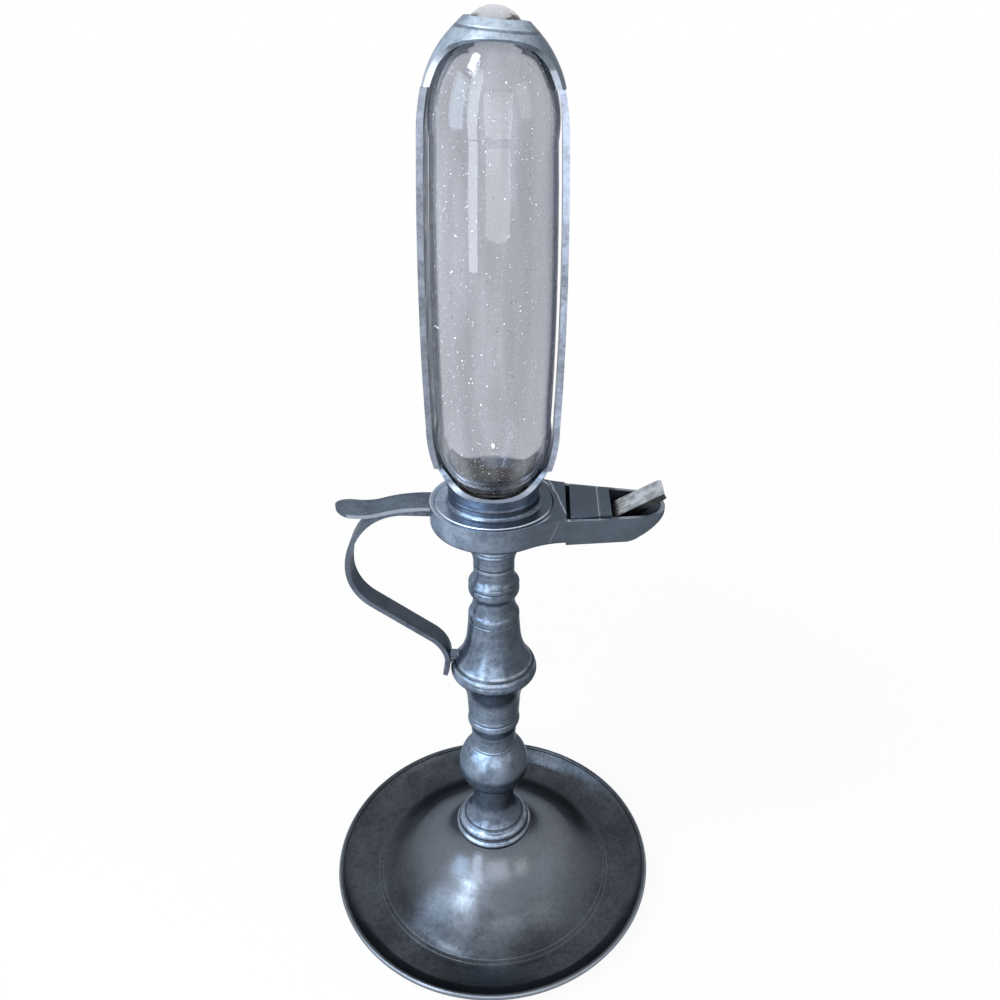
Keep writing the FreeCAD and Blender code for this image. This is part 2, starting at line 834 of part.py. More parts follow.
def spout_trough():
    wide = spout_half(s.spout_start, as_size(0)) * 3
    zero = as_size(0)
    start = s.spout_start + s.solder_gap
    outer_plan = padded(
        "spout_outer_plan", "XY_Plane", spout_plan(zero, start), s.font_depth, font_base)
    outer_side = padded("spout_outer_side", "XZ_Plane", spout_side(zero, start, spout_rim), wide)
    inner_start = s.spout_start - s.spout_wall
    inner_top = font_top + s.spout_wall
    inner_plan = padded(
        "spout_inner_plan", "XY_Plane", spout_plan(s.spout_wall, inner_start),
        s.font_depth + s.spout_wall, font_base)
    inner_side = padded(
        "spout_inner_side", "XZ_Plane", spout_side(s.spout_wall, inner_start, inner_top), wide)
    outer = boolean("Part::Common", "spout_outside", outer_plan, outer_side)
    inner = boolean("Part::Common", "spout_inside", inner_plan, inner_side)
    return boolean("Part::Cut", "spout_trough", outer, inner)


def spout_plate(name, start, end, thickness):
    """A plate that fits between the tapered walls of the spout."""
    inset = s.spout_wall + s.lid_gap
    plate = Outline(start, -spout_half(start, inset))
    plate.line(end, -spout_half(end, inset))
    plate.line(end, spout_half(end, inset))
    plate.line(start, spout_half(start, inset))
    return padded(name, "XY_Plane", plate, thickness, font_top + s.lid_rise - thickness)


def wick_holder():
    """A folded strip: a sloping web with two cheeks that stand on the floor of the spout."""
    run, climb = cosine(s.wick_slope), sine(s.wick_slope)
    floor = font_base + s.spout_wall + s.wick_play
    pass_z = font_top + s.lid_rise - s.bridge_thickness - s.wick_pass
    tip_x = bridge_end + s.wick_reach
    tip_z = pass_z + s.wick_reach * climb / run
    web = s.wick_sheet / run
    tail_x = tip_x - (tip_z - floor - web) * run / climb
    cheek_x = spout_end - s.wick_cheek_run
    body = new_body("wick_holder")
    block = Outline(tail_x, floor)
    block.line(cheek_x, floor)
    block.line(tip_x + s.wick_lip * climb, tip_z - s.wick_lip * run)
    block.line(tip_x, tip_z)
    block.line(tail_x, floor + web)
    add_pad(body, "XZ_Plane", [block], s.wick_width, "wick_strip")
    past = s.wick_lip * 3
    inside = Outline(tail_x, floor)
    inside.line(tail_x, floor - past)
    inside.line(tip_x + past * run, floor - past)
    inside.line(tip_x + past * run, tip_z + past * climb - web)
    add_pocket(
        body, "XZ_Plane", [inside], s.wick_width - s.wick_sheet * 2, "wick_channel")
    half = s.wick_width / 2
    end_x = tip_x + s.wick_lip * climb
    corner = Outline(end_x - s.wick_corner, half)
    corner.bend(end_x, half - s.wick_corner, 90, "right")
    corner.line(end_x + s.wick_corner, half - s.wick_corner)
    corner.line(end_x + s.wick_corner, half + s.wick_corner)
    corner.line(end_x - s.wick_corner, half + s.wick_corner)
    add_pocket(
        body, "XY_Plane", [corner], s.wick_reach, "wick_corner", tip_z + s.wick_corner)
    return body


def font_cylinder(name):
    """The outside of the font, which cuts what is soldered against it."""
    cylinder = doc.addObject("Part::Cylinder", name)
    cylinder.setExpression("Radius", (s.font_radius + s.solder_gap).formula)
    cylinder.setExpression("Height", (s.font_depth * 3).formula)
    cylinder.setExpression("Placement.Base.z", (font_base - s.font_depth).formula)
    return cylinder


def thumb_rest():
    thick = s.thumb_thickness
    root_x = s.font_radius * sine(s.lobe_angle)
    bend_x = s.font_radius + s.thumb_bend_run
    tip_x = bend_x + s.thumb_tip_run
    root_z = font_top - s.thumb_root_drop
    bend_z = font_top - s.thumb_bend_drop
    side = Outline(-root_x, root_z)
    side.bend(-bend_x, bend_z, s.thumb_root_turn, "left")
    side.bend(-tip_x, bend_z, s.thumb_tip_turn, "right")
    side.line(-tip_x, bend_z - thick)
    side.bend(-bend_x, bend_z - thick, s.thumb_tip_turn, "left")
    side.bend(-root_x, root_z - thick, s.thumb_root_turn, "right")
    band = padded("thumb_band", "XZ_Plane", side, s.thumb_width)
    half = s.thumb_width / 2
    nose_x = s.thumb_nose_run - tip_x
    plan = Outline(-root_x, -half)
    plan.line(-root_x, half)
    plan.line(nose_x, half)
    plan.bend(-tip_x, 0, s.thumb_nose_turn, "left")
    plan.bend(nose_x, -half, s.thumb_nose_turn, "left")
    outline = padded("thumb_plan", "XY_Plane", plan, s.font_depth * 2, font_base)
    spoon = boolean("Part::Common", "thumb_spoon", band, outline)
    return boolean("Part::Cut", "thumb_rest", spoon, font_cylinder("thumb_seat"))


def on_circle(centre, radius, angle):
    return centre[0] + radius * cosine(angle), centre[1] + radius * sine(angle)


def handle_line(shift):
    """Corners and arcs of the handle's line from the font to the tail, moved out by shift."""
    top_z = font_top - s.handle_drop
    flat_x = -(s.font_radius + s.handle_run)
    join = 90 + s.bow_top_turn
    leave = 270 - s.handle_slope
    meet = 90 - s.handle_slope
    top = (flat_x, top_z - s.bow_top_curve)
    side = on_circle(top, s.bow_top_curve - s.bow_side_curve, join)
    heel = (side[0] - s.bow_side_curve + s.bow_heel_curve, side[1])
    foot = on_circle(heel, s.bow_heel_curve, leave)
    slope = s.handle_slope
    tail_x = -(s.ring_radius + s.solder_gap + s.handle_thickness / 2 + s.tail_curve)
    length = (tail_x - foot[0] + s.tail_curve * sine(slope)) / cosine(slope)
    tail = (tail_x, foot[1] - length * sine(slope) - s.tail_curve * cosine(slope))
    tail_turn = s.tail_curve - shift
    bow_top, bow_side = s.bow_top_curve + shift, s.bow_side_curve + shift
    bow_heel = s.bow_heel_curve + shift
    path = [
        ((flat_x, top_z + shift), None),
        (on_circle(top, bow_top, join), bow_top),
        (on_circle(side, bow_side, as_size(180)), bow_side),
        (on_circle(heel, bow_heel, leave), bow_heel),
        (on_circle(tail, tail_turn, meet), None),
        (on_circle(tail, tail_turn, -s.tail_angle), -tail_turn),
    ]
    return path, tail


def handle_strap():
    half = s.handle_thickness / 2
    root_x = -s.font_radius * sine(s.lobe_angle)
    outer, _ = handle_line(half)
    inner, _ = handle_line(-half)
    strip = Outline(root_x, outer[0][0][1])
    for corner, radius in outer:
        if radius is None:
            strip.line(*corner)
        elif radius.value > 0:
            strip.arc(*corner, radius, "left")
        else:
            strip.arc(*corner, -radius, "right")
    strip.line(*inner[-1][0])
    for (corner, _), (_, radius) in zip(inner[-2::-1], inner[:0:-1]):
        if radius is None:
            strip.line(*corner)
        elif radius.value > 0:
            strip.arc(*corner, radius, "right")
        else:
            strip.arc(*corner, -radius, "left")
    strip.line(root_x, inner[0][0][1])
    band = padded("handle_band", "XZ_Plane", strip, s.handle_width)
    return boolean("Part::Cut", "handle_strap", band, font_cylinder("handle_seat"))


def handle_gusset():
    """The wedge of solder between the tail of the handle and the bell."""
    tail = handle_line(as_size(0))[1]
    radius = s.tail_curve + s.handle_thickness / 2 + s.solder_gap
    low = on_circle(tail, radius, s.gusset_low_angle)
    high = on_circle(tail, radius, s.gusset_top_angle)
    wedge = Outline(*low)
    wedge.line(-s.waist_radius, low[1])
    wedge.line(-s.waist_radius, high[1])
    wedge.line(*high)
    wedge.arc(*low, radius, "right")
    block = padded("gusset_block", "XZ_Plane", wedge, s.gusset_width)
    outside = Outline(0, bell_base)
    bell_outside(outside)
    outside.line(0, neck_base)
    cutter = new_body("gusset_seat")
    add_turned(cutter, outside, "gusset_seat_turned")
    return boolean("Part::Cut", "handle_gusset", block, cutter)


def leather_washer():
    outer = socket_ring_radius - s.washer_inset
    shape = Outline(outer - s.washer_width, socket_top)
    shape.line(outer, socket_top)
    shape.line(outer, seat)
    shape.line(outer - s.washer_width, seat)
    body = new_body("leather_washer")
    add_turned(body, shape, "washer_turned")
    return body


def cage_collar():
    """Screwed foot of the cage and the bowl whose ears carry the straps."""
    spigot = s.socket_bore - s.thread_gap
    flange = socket_ring_radius + s.flange_margin
    flange_top = seat + s.flange_thickness
    foot = flange - s.bowl_foot_inset
    shape = Outline(s.cage_bore, seat - s.screw_length)
    shape.line(spigot, seat - s.screw_length)
    shape.line(spigot, seat)
    shape.line(flange, seat)
    shape.line(flange, flange_top)
    shape.line(foot, flange_top)
    shape.bend(bowl_top_radius, bowl_top, s.bowl_turn, "right")
    shape.line(bowl_top_radius - s.cage_wall, bowl_top)
    shape.bend(foot - s.cage_wall, seat + s.bowl_floor, s.bowl_turn, "left")
    shape.line(s.cage_bore, seat + s.bowl_floor)
    body = new_body("cage_collar")
    add_turned(body, shape, "collar_turned")
    past = bowl_top_radius + s.bowl_height
    front_z = seat + s.bowl_front_rise
    cuts = []
    for side, turn in ((1, "left"), (-1, "right")):
        cut = Outline(side * s.strap_width / 2, bowl_top + s.bowl_height)
        cut.line(side * s.strap_width / 2, bowl_top)
        cut.bend(side * s.bowl_front_width, front_z, s.bowl_front_turn, turn)
        cut.line(side * past, front_z)
        cut.line(side * past, bowl_top + s.bowl_height)
        cuts.append(cut)
    add_pocket(body, "YZ_Plane", cuts, bowl_top_radius * 3, "bowl_sides")
    return body


def strap(name, side):
    """A bent strap; side is 1 for the spout side and -1 for the handle side."""
    turn, back = ("left", "right") if side > 0 else ("right", "left")
    inner_gap = s.strap_gap
    outer_gap = s.strap_gap + s.strap_thickness
    foot = bowl_top_radius - s.strap_step
    band = Outline(side * foot, bowl_top)
    band.bend(side * (s.glass_bowl_radius + outer_gap), glass_bowl_z, s.strap_hip_turn, turn)
    band.bend(side * (s.glass_belly_radius + outer_gap), glass_belly_z, s.strap_belly_turn, turn)
    band.bend(side * (s.glass_chest_radius + outer_gap), glass_chest_z, s.strap_chest_turn, turn)
    band.bend(side * strap_top_radius, strap_top, s.strap_top_turn, turn)
    band.line(side * (strap_top_radius - s.strap_thickness), strap_top)
    band.bend(side * (s.glass_chest_radius + inner_gap), glass_chest_z, s.strap_top_turn, back)
    band.bend(side * (s.glass_belly_radius + inner_gap), glass_belly_z, s.strap_chest_turn, back)
    band.bend(side * (s.glass_bowl_radius + inner_gap), glass_bowl_z, s.strap_belly_turn, back)
    band.bend(side * (foot - s.strap_thickness), bowl_top, s.strap_hip_turn, back)
    return padded(name, "XZ_Plane", band, s.strap_width)


def crown():
    """Top of the cage: a conical ring whose two arms run down to the straps."""
    wall = s.crown_wall
    foot = strap_top_radius + s.crown_step
    arm = s.glass_dome_radius + s.crown_arm_gap
    arm_z = glass_dome_z + s.crown_arm_rise
    top_z = glass_cone_z + s.crown_top_rise
    hole = s.nipple_radius + s.nipple_gap
    lean = wall / root(as_size(2))
    shape = Outline(foot - wall, strap_top)
    shape.line(foot, strap_top)
    shape.bend(arm, arm_z, s.crown_arm_turn, "left")
    shape.bend(hole + s.crown_rim_width, top_z, s.crown_top_turn, "left")
    shape.line(hole, top_z)
    shape.line(hole, nipple_base - s.nipple_gap)
    shape.bend(arm - lean, arm_z - lean, s.crown_top_turn, "right")
    shape.bend(foot - wall, strap_top, s.crown_arm_turn, "right")
    body = new_body("crown")
    add_turned(body, shape, "crown_turned")
    half = s.strap_width / 2
    front_z = glass_dome_z + s.crown_front_rise
    arch_z = glass_dome_z - s.crown_arch_drop
    far = s.crown_front_width + foot
    cuts = []
    for side, turn in ((1, "right"), (-1, "left")):
        cut = Outline(side * half, strap_top - wall)
        cut.line(side * half, arch_z)
        cut.bend(side * s.crown_front_width, front_z, s.crown_front_turn, turn)
        cut.line(side * far, front_z)
        cut.line(side * far, strap_top - wall)
        cuts.append(cut)
    add_pocket(body, "YZ_Plane", cuts, foot * 3, "crown_sides")
    drop = foot * sine(s.crown_tilt) / cosine(s.crown_tilt)
    cut_z = glass_cone_z + s.crown_cut_rise
    above = Outline(-foot, cut_z + drop)
    above.line(foot, cut_z - drop)
    above.line(foot, cut_z + foot)
    above.line(-foot, cut_z + foot)
    add_pocket(body, "XZ_Plane", [above], foot * 3, "crown_tilted_top")
    return body


def dome_curve(radius, rise):
    """The sphere radius of a dome of the given foot radius and rise."""
    return (radius * radius + rise * rise) / (rise * 2)


def glass_reservoir():
    wall = s.glass_wall
    neck_top = seat + s.glass_neck_rise
    inside_top = glass_top - wall * 1.5
    shape = Outline(s.glass_neck_radius - wall, seat - s.glass_neck_drop)
    shape.line(s.glass_neck_radius, seat - s.glass_neck_drop)
    shape.line(s.glass_neck_radius, neck_top)
    shape.bend(s.glass_root_radius, glass_root_z, s.glass_root_turn, "right")
    shape.bend(s.glass_bowl_radius, glass_bowl_z, s.glass_bowl_turn, "left")
    shape.bend(s.glass_belly_radius, glass_belly_z, s.glass_belly_turn, "left")
    shape.bend(s.glass_chest_radius, glass_chest_z, s.glass_chest_turn, "left")
    shape.bend(s.glass_dome_radius, glass_dome_z, s.glass_dome_turn, "left")
    shape.line(s.glass_cone_radius, glass_cone_z)
    shape.bend(s.nipple_radius, nipple_base, s.nipple_foot_turn, "right")
    shape.arc(0, glass_top, dome_curve(s.nipple_radius, s.nipple_height), "left")
    shape.line(0, inside_top)
    inner_nipple = s.nipple_radius - wall
    shape.arc(inner_nipple, nipple_base, dome_curve(inner_nipple, inside_top - nipple_base), "right")
    shape.bend(s.glass_cone_radius - wall, glass_cone_z - wall, s.nipple_foot_turn, "left")
    shape.line(s.glass_dome_radius - wall, glass_dome_z - wall)
    shape.bend(s.glass_chest_radius - wall, glass_chest_z, s.glass_dome_turn, "right")
    shape.bend(s.glass_belly_radius - wall, glass_belly_z, s.glass_chest_turn, "right")
    shape.bend(s.glass_bowl_radius - wall, glass_bowl_z, s.glass_belly_turn, "right")
    shape.bend(s.glass_root_radius - wall, glass_root_z + wall, s.glass_bowl_turn, "right")
    shape.bend(s.glass_neck_radius - wall, neck_top, s.glass_root_turn, "left")
    body = new_body("glass_reservoir")
    add_turned(body, shape, "glass_turned")
    return body


def neck_packing():
    inner = s.glass_neck_radius + s.packing_gap
    outer = s.cage_bore - s.solder_gap
    shape = Outline(inner, seat - s.packing_drop)
    shape.line(outer, seat - s.packing_drop)
    shape.line(outer, seat + s.bowl_floor)
    shape.line(inner, seat + s.bowl_floor)
    body = new_body("neck_packing")
    add_turned(body, shape, "packing_turned")
    return body


pieces = [
    base_dish(),
    stem_foot(),
    stem_ball(),
    stem_collar(),
    stem_cup(),
    stem_bell(),
    stem_neck(),
    font_bowl(),
    font_cover(),
    font_socket(),
    spout_trough(),
    spout_plate("spout_cover", s.spout_start + s.lid_margin, lid_end, s.lid_thickness),
    spout_plate("spout_bridge", lid_end + s.lid_gap, bridge_end, s.bridge_thickness),
    wick_holder(),
    thumb_rest(),
    handle_strap(),
    handle_gusset(),
    leather_washer(),
    cage_collar(),
    strap("strap_right", 1),
    strap("strap_left", -1),
    crown(),
    glass_reservoir(),
    neck_packing(),
]

doc.recompute()
for thing in doc.Objects:
    if "Invalid" in thing.State or "Error" in thing.State:
        raise RuntimeError(f"{thing.Label} failed: {thing.State}")

os.makedirs("parts", exist_ok=True)
for piece in pieces:
    shape = piece.Shape
    if shape.isNull() or not shape.isValid() or len(shape.Solids) != 1:
        raise RuntimeError(f"{piece.Label} isn't one sound solid")
    shape.exportStep(f"parts/{piece.Label}.step")
    box = shape.BoundBox
    print(
        f"{piece.Label}: {shape.Volume:.0f} mm3, x {box.XMin:.1f} to {box.XMax:.1f}, "
        f"y {box.YMin:.1f} to {box.YMax:.1f}, z {box.ZMin:.1f} to {box.ZMax:.1f}")
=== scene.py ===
import math
import random

import bmesh
import bpy
from mathutils import Matrix, Vector
from mathutils.bvhtree import BVHTree


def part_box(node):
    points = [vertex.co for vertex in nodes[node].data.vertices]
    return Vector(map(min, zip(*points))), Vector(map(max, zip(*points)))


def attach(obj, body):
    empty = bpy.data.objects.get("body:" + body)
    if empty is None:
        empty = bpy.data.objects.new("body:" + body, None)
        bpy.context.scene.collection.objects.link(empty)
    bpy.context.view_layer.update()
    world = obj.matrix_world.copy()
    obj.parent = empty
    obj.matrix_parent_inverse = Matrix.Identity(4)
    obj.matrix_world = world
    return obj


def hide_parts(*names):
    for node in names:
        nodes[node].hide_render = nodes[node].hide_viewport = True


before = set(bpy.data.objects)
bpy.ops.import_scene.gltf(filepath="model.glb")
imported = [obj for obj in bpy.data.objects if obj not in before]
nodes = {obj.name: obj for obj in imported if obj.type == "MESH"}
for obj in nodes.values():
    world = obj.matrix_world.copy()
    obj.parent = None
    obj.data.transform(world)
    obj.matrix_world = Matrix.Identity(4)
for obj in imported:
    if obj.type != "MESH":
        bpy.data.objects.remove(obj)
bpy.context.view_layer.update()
mm = 0.001
white = (1.0, 1.0, 1.0, 1.0)
weldDistance = 0.001 * mm
creaseAngle = math.radians(32)


class Wire:
    # One output of a shader node. Sums on it add their own Math nodes.
    def __init__(self, shader, socket):
        self.shader = shader
        self.socket = socket

    def combine(self, operation, first, second=0.0):
        return self.shader.node("Math", {"operation": operation}, {0: first, 1: second})

    def __add__(self, other):
        return self.combine("ADD", self, other)

    def __radd__(self, other):
        return self.combine("ADD", other, self)

    def __sub__(self, other):
        return self.combine("SUBTRACT", self, other)

    def __rsub__(self, other):
        return self.combine("SUBTRACT", other, self)

    def __mul__(self, other):
        return self.combine("MULTIPLY", self, other)

    def __rmul__(self, other):
        return self.combine("MULTIPLY", other, self)

    def __truediv__(self, other):
        return self.combine("DIVIDE", self, other)

    def __pow__(self, other):
        return self.combine("POWER", self, other)

    def __abs__(self):
        return self.combine("ABSOLUTE", self)

    def darkest(self, other):
        return self.combine("MINIMUM", self, other)

    def lightest(self, other):
        return self.combine("MAXIMUM", self, other)


class Shader:
    def __init__(self, tree):
        self.tree = tree
        tree.nodes.clear()

    def node(self, kind, settings=None, values=None, output=0):
        added = self.tree.nodes.new("ShaderNode" + kind)
        for name, setting in (settings or {}).items():
            setattr(added, name, setting)
        for socket, value in (values or {}).items():
            if isinstance(value, Wire):
                self.tree.links.new(value.socket, added.inputs[socket])
            else:
                added.inputs[socket].default_value = value
        return Wire(self, added.outputs[output]) if added.outputs else None

    def place(self):
        return self.node("TexCoord", output="Object")

    def parts(self, vector):
        return [self.node("SeparateXYZ", values={0: vector}, output=i) for i in range(3)]

    def facing(self, way):
        # how far the surface looks along a direction
        normal = self.node("TexCoord", output="Normal")
        return self.node("VectorMath", {"operation": "DOT_PRODUCT"}, {0: normal, 1: way},
                         output="Value")

    def step(self, value, start, end):
        # 0 before start and 1 past end
        return self.node("MapRange", {"interpolation_type": "SMOOTHSTEP"},
                         {"Value": value, "From Min": start, "From Max": end})

    def line(self, value, at, width, core=0.35):
        # 1 on a line across the value, 0 beyond its width
        return 1 - self.step(abs(value - at), width * core, width)

    def lines(self, value, places, width):
        return sum(self.line(value, at, width) for at in places)

    def noise(self, vector, size, detail=3.0, roughness=0.55, stretch=(1, 1, 1)):
        scaled = self.node("Mapping", values={"Vector": vector, "Scale": stretch})
        return self.node("TexNoise", values={"Vector": scaled, "Scale": 1 / size,
                                             "Detail": detail, "Roughness": roughness})

    def blend(self, share, first, second):
        return self.node("Mix", {"data_type": "RGBA"}, {0: share, 6: first, 7: second}, output=2)

    def bump(self, height, depth, normal=None):
        values = {"Height": height, "Distance": depth, "Strength": 1.0}
        if normal:
            values["Normal"] = normal
        return self.node("Bump", values=values)

    def finish(self, surface):
        self.node("OutputMaterial", values={"Surface": surface})


def newMaterial(name):
    material = bpy.data.materials.new(name)
    material.use_nodes = True
    return material, Shader(material.node_tree)


def between(share, low, high):
    return share * (high - low) + low


def colour(red, green, blue):
    # a colour as picked on screen, 0 to 255
    def linear(part):
        part /= 255
        return part / 12.92 if part <= 0.04045 else ((part + 0.055) / 1.055) ** 2.4
    return (linear(red), linear(green), linear(blue), 1.0)


def upward(shader):
    # 1 on faces that look up
    return shader.step(shader.facing((0, 0, 1)), 0.55, 0.8)


def dress(names, material):
    for name in names:
        nodes[name].data.materials.clear()
        nodes[name].data.materials.append(material)


def addObject(name, data):
    added = bpy.data.objects.new(name, data)
    bpy.context.scene.collection.objects.link(added)
    return added


def meshObject(name, mesh):
    data = bpy.data.meshes.new(name)
    mesh.to_mesh(data)
    mesh.free()
    return addObject(name, data)


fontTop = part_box("font_bowl")[1].z / mm
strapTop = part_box("strap_left")[1].z / mm
socketLow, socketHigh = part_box("font_socket")
socketTop = socketHigh.z / mm

# Pewter

pewterLook = {
    "light": colour(136, 152, 172),
    "middle": colour(84, 95, 110),
    "dark": colour(42, 46, 52),
    # colour of the painted shade on one side of a part
    "paintedShade": colour(46, 49, 52),
    "bare": colour(205, 214, 228),
    "specular": (0.35, 0.38, 0.42, 1.0),
    "patch": 14 * mm, "speck": 1.8 * mm, "tones": (0.38, 0.62),
    "turnedLines": 0.1, "turnedStretch": (0.5, 0.5, 9),
    "pitSpecks": (0.56, 0.72), "pitPatches": (0.62, 0.40), "pitShare": 0.75,
    "smooth": 0.2, "rough": 0.4, "roughPatches": (0.35, 0.7), "bareRoughness": 0.08,
    "metal": (0.72, 0.92),
    "unevenness": 0.04 * mm, "speckHeight": 0.5,
}


def pewter(name, look, marks=None):
    # marks gives the masks of bare metal (with painted light on the font's top and the dish's
    # dome), of darkening and painted shade, of relief and of painted shade on one side, from a
    # place in millimetres
    material, shader = newMaterial(name)
    place = shader.place()
    patches = shader.noise(place, look["patch"], detail=4.0, roughness=0.62)
    specks = shader.noise(place, look["speck"], detail=5.0, roughness=0.7)
    turning = shader.noise(place, look["patch"], detail=2.0, roughness=0.5,
                           stretch=look["turnedStretch"])
    lines = look["turnedLines"]
    tone = shader.step(patches * 0.5 + specks * (0.5 - lines) + turning * lines, *look["tones"])
    pits = shader.step(specks, *look["pitSpecks"]) * shader.step(patches, *look["pitPatches"])
    tint = shader.blend(tone, look["middle"], look["light"])
    tint = shader.blend(pits * look["pitShare"], tint, look["dark"])
    rough = between(shader.step(patches, *look["roughPatches"]), look["smooth"], look["rough"])
    normal = shader.bump(specks * look["speckHeight"] + patches, look["unevenness"])
    if marks:
        x, y, z = [part / mm for part in shader.parts(place)]
        bare, darkeningAndShade, relief, paintedShade = marks(shader, x, y, z)
        for share, stain in ((paintedShade, "paintedShade"), (darkeningAndShade, "dark"), (bare, "bare")):
            tint = shader.blend(share, tint, look[stain])
        rough = rough + bare * look["bareRoughness"]
        normal = shader.bump(relief, mm, normal)
    shader.finish(shader.node("BsdfPrincipled", values={
        "Base Color": tint, "Roughness": rough, "Metallic": between(tone, *look["metal"]),
        "Normal": normal, "Specular Tint": look["specular"]}))
    return material


# The stem: dark turned grooves, the edges beside them rubbed bright, painted shade on the side
# towards the flame

stemWear = {
    "grooves": (27.9, 30.3, 33.4, 36.4, 119.3, 163.4), "grooveWidth": 0.5,
    "grooveDark": 0.75, "grooveDepth": 0.12,
    "fineEdges": (29.3,), "fineWidth": 0.5,
    "edges": (32.0, 35.0, 118.0, 120.0, 162.6), "edgeWidth": 0.7,
    "edgeBare": 0.3, "wornPatch": 6 * mm, "worn": (0.3, 0.7),
    "flameSide": (-0.15, 0.8), "paintedShade": 0.75,
}


def stemMarks(shader, x, y, z):
    grooves = shader.lines(z, stemWear["grooves"], stemWear["grooveWidth"])
    bright = (shader.lines(z, stemWear["fineEdges"], stemWear["fineWidth"])
              + shader.lines(z, stemWear["edges"], stemWear["edgeWidth"]))
    worn = shader.step(shader.noise(shader.place(), stemWear["wornPatch"]), *stemWear["worn"])
    # painted shade on the faces that look towards the flame's side
    paintedShade = shader.step(shader.facing((1, 0, 0)), *stemWear["flameSide"])
    return (bright * worn * stemWear["edgeBare"], grooves * stemWear["grooveDark"],
            grooves * -stemWear["grooveDepth"], paintedShade * stemWear["paintedShade"])


dress(["stem_foot", "stem_ball", "stem_collar", "stem_cup", "stem_bell", "stem_neck",
       "font_socket", "handle_gusset"], pewter("agedPewter", pewterLook, stemMarks))
print("pewter ready")

# The dish: darker, with two turned circles, its rim rubbed brighter and painted light on its dome

dishLook = dict(pewterLook, light=colour(74, 79, 86), middle=colour(46, 49, 54),
                dark=colour(26, 28, 31), smooth=0.22, rough=0.34, patch=26 * mm)
dishWear = {
    "rings": (48.9, 50.6), "ringWidth": 0.35, "ringDepth": 0.05, "ringBare": 0.05,
    "dome": (46, 24), "domePaintedLight": 0.16, "rim": (66.6, 67.4), "rimBare": 0.25,
}


def dishMarks(shader, x, y, z):
    radius = (x * x + y * y) ** 0.5
    rings = shader.lines(radius, dishWear["rings"], dishWear["ringWidth"])
    rim = shader.step(radius, *dishWear["rim"]) * dishWear["rimBare"]
    # painted light on the dome
    dome = shader.step(radius, *dishWear["dome"]) * dishWear["domePaintedLight"]
    return rim + dome + rings * dishWear["ringBare"], 0.0, rings * -dishWear["ringDepth"], 0.0


dress(["base_dish"], pewter("dishPewter", dishLook, dishMarks))

# The font and its spout: solder along the joint of the two, bright rims, an engraved circle, a
# painted sheen on the left of its top

fontLook = dict(pewterLook, light=colour(156, 172, 194), middle=colour(104, 118, 136),
                dark=colour(40, 44, 48), paintedShade=colour(66, 73, 80))
fontWear = {
    "grain": 0.8 * mm, "edgeGrain": (0.3, 1.1),
    "seam": 22.9, "seamSlant": 0.227, "seamWidth": 0.4, "seamHeight": 0.1, "seamBare": 0.9,
    "wander": 1.4, "wanderLength": 4 * mm,
    "sideSeam": 21.3, "sideLean": 0.36, "sideFrom": 186, "sideShare": 0.2,
    "round": (20.5, 17.5), "rimRadius": 22.4, "rimWidth": 0.5,
    "circle": 20.4, "circleWidth": 0.28, "circleDepth": 0.08,
    "spoutRim": (188.75, 189.05), "spoutFrom": (24, 26), "spoutSide": (11.9, 12.1),
    "spoutNose": (42, 44), "spoutBare": 0.45,
    "plateFrom": (26, 26.6), "plateSide": 11.84, "plateEnd": 36.3, "plateWidth": 0.4,
    "plateBare": 0.8,
    "paintedSheen": (2, -14), "paintedSheenShare": 0.16, "paintedShade": (-15, 16), "paintedShadeShare": 0.85,
}


def fontMarks(shader, x, y, z):
    wear = fontWear
    place = shader.place()
    top = upward(shader)
    grain = shader.noise(place, wear["grain"], detail=4.0, roughness=0.8)
    wander = (shader.noise(place, wear["wanderLength"]) - 0.5) * wear["wander"]
    seam = shader.line(x + y * wear["seamSlant"] + wander, wear["seam"], wear["seamWidth"]) * top
    side = x - (z - wear["sideFrom"]) * wear["sideLean"] + wander
    sideSeam = shader.line(side, wear["sideSeam"], wear["seamWidth"]) * (1 - top)
    seam = (seam + sideSeam * wear["sideShare"]) * grain

    radius = (x * x + y * y) ** 0.5
    bowl = shader.step(x, *wear["round"])
    circle = shader.line(radius, wear["circle"], wear["circleWidth"]) * bowl
    rim = shader.line(radius, wear["rimRadius"], wear["rimWidth"]) * bowl
    outer = shader.step(abs(y), *wear["spoutSide"]).lightest(shader.step(x, *wear["spoutNose"]))
    spoutRim = shader.step(z, *wear["spoutRim"]) * shader.step(x, *wear["spoutFrom"]) * outer
    rim = (rim + spoutRim * wear["spoutBare"]) * top
    plateEdge = shader.line(abs(y), wear["plateSide"], wear["plateWidth"]).lightest(
        shader.line(x, wear["plateEnd"], wear["plateWidth"]))
    plateEdge = plateEdge * shader.step(x, *wear["plateFrom"]) * top * wear["plateBare"]
    edges = (circle + rim + plateEdge) * between(grain, *wear["edgeGrain"])

    # painted sheen on the upward faces at the left
    paintedSheen = top * shader.step(x, *wear["paintedSheen"]) * wear["paintedSheenShare"]
    bare = (seam * wear["seamBare"] + edges + paintedSheen).darkest(1.0)
    relief = seam * wear["seamHeight"] - circle * wear["circleDepth"]
    # painted shade on the right, the flame's side
    return bare, 0.0, relief, shader.step(x, *wear["paintedShade"]) * wear["paintedShadeShare"]


dress(["font_bowl", "font_cover", "spout_trough", "spout_cover", "spout_bridge"],
      pewter("fontPewter", fontLook, fontMarks))

# The thumb rest, bright along its edges

thumbLook = dict(pewterLook, light=colour(112, 124, 138), middle=colour(72, 82, 92))
thumbWear = {"edge": (5.4, 5.65), "bare": 0.4}


def thumbMarks(shader, x, y, z):
    return shader.step(abs(y), *thumbWear["edge"]) * thumbWear["bare"], 0.0, 0.0, 0.0


dress(["thumb_rest"], pewter("thumbPewter", thumbLook, thumbMarks))

# The handle, with painted shade inside the bow

